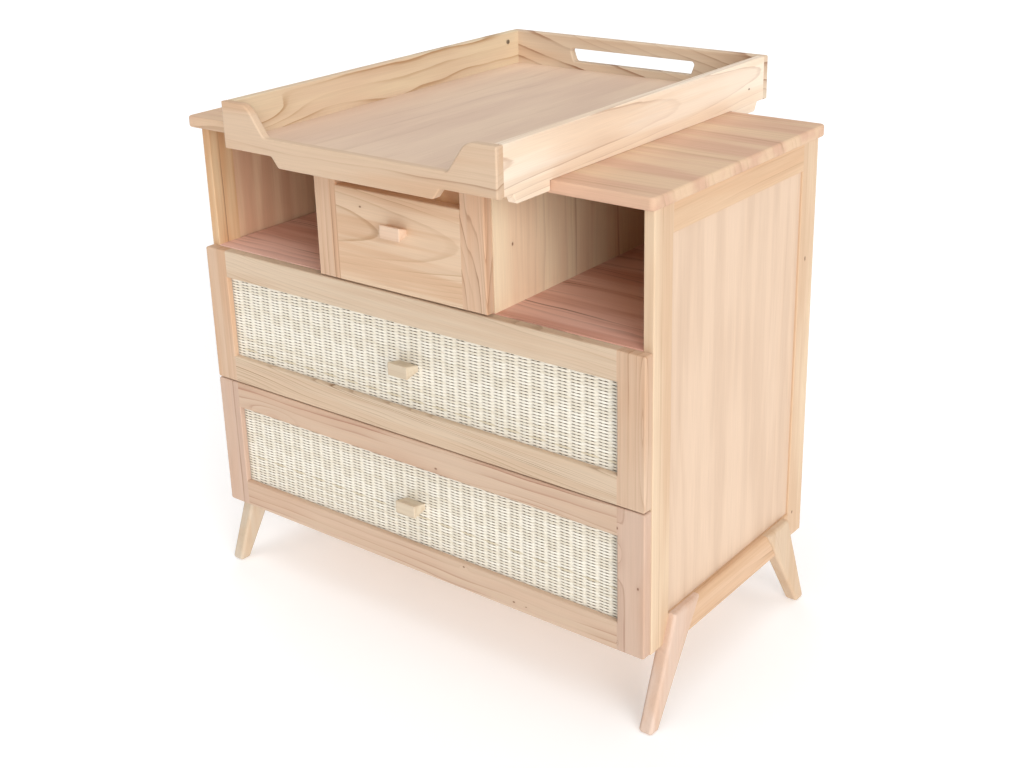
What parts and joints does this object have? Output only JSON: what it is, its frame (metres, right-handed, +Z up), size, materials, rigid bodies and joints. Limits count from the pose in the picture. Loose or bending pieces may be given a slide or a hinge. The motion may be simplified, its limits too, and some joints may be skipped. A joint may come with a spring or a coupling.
{
  "type": "changing dresser",
  "caption": "Wooden changing dresser on splayed legs, with cane-fronted drawers, a small drawer between open niches, and a lift-off changing tray.",
  "frame": {"origin": "centre of the footprint on the floor", "axes": "+X to the right seen from the front, the drawers open along -Y, +Z up"},
  "size_m": [0.964, 0.76, 0.953],
  "materials": {
    "worktop_wood": "sanded and clear matt oiled, grain along the width",
    "side_frame_wood": "sanded and clear matt oiled, grain along each member",
    "side_panel_wood": "sanded and clear matt oiled, upright grain",
    "niche_wood": "sanded and clear matt oiled",
    "base_wood": "plain sanded panel",
    "back_board": "thin board, light wood faced",
    "leg_wood": "sanded and clear matt oiled, grain along each leg",
    "front_frame_wood": "sanded and clear matt oiled, grain along each member",
    "cane": "woven cane sheet in its natural cream, low sheen",
    "cane_backing_board": "thin board behind the cane",
    "knob_wood": "sanded and clear matt oiled block",
    "drawer_box_wood": "plain sanded boards",
    "runner_steel": "bright zinc plated sheet",
    "screw_steel": "zinc plated",
    "dowel_wood": "plain beech",
    "tray_wood": "sanded and clear matt oiled, grain along each board",
    "tray_floor_wood": "sanded and clear matt oiled panel"
  },
  "bodies": {
    "cabinet": {"back_panel": "back_board", "back_panel_screws": "screw_steel", "base_panel": "base_wood", "carcass_dowels": "dowel_wood", "left_front_leg": "leg_wood", "left_leg_rail": "leg_wood", "left_partition": "niche_wood", "left_rear_leg": "leg_wood", "left_side_panel": "side_panel_wood", "left_side_rails": "side_frame_wood", "left_side_stiles": "side_frame_wood", "leg_screws": "screw_steel", "niche_shelf": "niche_wood", "right_front_leg": "leg_wood", "right_leg_rail": "leg_wood", "right_partition": "niche_wood", "right_rear_leg": "leg_wood", "right_side_panel": "side_panel_wood", "right_side_rails": "side_frame_wood", "right_side_stiles": "side_frame_wood", "runner_cabinet_members": "runner_steel", "worktop": "worktop_wood"},
    "upper_drawer": {"upper_front_stiles": "front_frame_wood", "upper_front_rails": "front_frame_wood", "upper_cane_panel": "cane", "upper_cane_backing": "cane_backing_board", "upper_box_sides": "drawer_box_wood", "upper_box_ends": "drawer_box_wood", "upper_box_bottom": "drawer_box_wood", "upper_knob": "knob_wood", "upper_knob_screw": "screw_steel", "upper_runner_drawer_members": "runner_steel"},
    "upper_runner_middle": {"upper_runner_middle_members": "runner_steel"},
    "lower_drawer": {"lower_front_stiles": "front_frame_wood", "lower_front_rails": "front_frame_wood", "lower_cane_panel": "cane", "lower_cane_backing": "cane_backing_board", "lower_box_sides": "drawer_box_wood", "lower_box_ends": "drawer_box_wood", "lower_box_bottom": "drawer_box_wood", "lower_knob": "knob_wood", "lower_knob_screw": "screw_steel", "lower_runner_drawer_members": "runner_steel"},
    "lower_runner_middle": {"lower_runner_middle_members": "runner_steel"},
    "small_drawer": {"small_front_stiles": "front_frame_wood", "small_front_panel": "front_frame_wood", "small_box_sides": "drawer_box_wood", "small_box_ends": "drawer_box_wood", "small_box_bottom": "drawer_box_wood", "small_knob": "knob_wood", "small_knob_screw": "screw_steel", "small_runner_drawer_members": "runner_steel"},
    "small_runner_middle": {"small_runner_middle_members": "runner_steel"},
    "tray": {"tray_back_board": "tray_wood", "tray_floor": "tray_floor_wood", "tray_front_board": "tray_wood", "tray_left_board": "tray_wood", "tray_right_board": "tray_wood", "tray_screws": "screw_steel"}
  },
  "joints": [
    {"name": "upper_drawer_slide", "type": "slide", "parent": "cabinet", "child": "upper_drawer", "axis": [0, -1, 0], "range_m": [0, 0.38]},
    {"name": "upper_runner_middle_slide", "type": "slide", "parent": "cabinet", "child": "upper_runner_middle", "axis": [0, -1, 0], "range_m": [0, 0.19]},
    {"name": "lower_drawer_slide", "type": "slide", "parent": "cabinet", "child": "lower_drawer", "axis": [0, -1, 0], "range_m": [0, 0.38]},
    {"name": "lower_runner_middle_slide", "type": "slide", "parent": "cabinet", "child": "lower_runner_middle", "axis": [0, -1, 0], "range_m": [0, 0.19]},
    {"name": "small_drawer_slide", "type": "slide", "parent": "cabinet", "child": "small_drawer", "axis": [0, -1, 0], "range_m": [0, 0.38]},
    {"name": "small_runner_middle_slide", "type": "slide", "parent": "cabinet", "child": "small_runner_middle", "axis": [0, -1, 0], "range_m": [0, 0.19]},
    {"name": "tray_lift", "type": "slide", "parent": "cabinet", "child": "tray", "axis": [0, 0, 1], "range_m": [0, 0.12]}
  ],
  "couplings": [
    {"joint": "upper_runner_middle_slide", "follows": "upper_drawer_slide", "ratio": 0.5},
    {"joint": "lower_runner_middle_slide", "follows": "lower_drawer_slide", "ratio": 0.5},
    {"joint": "small_runner_middle_slide", "follows": "small_drawer_slide", "ratio": 0.5}
  ]
}
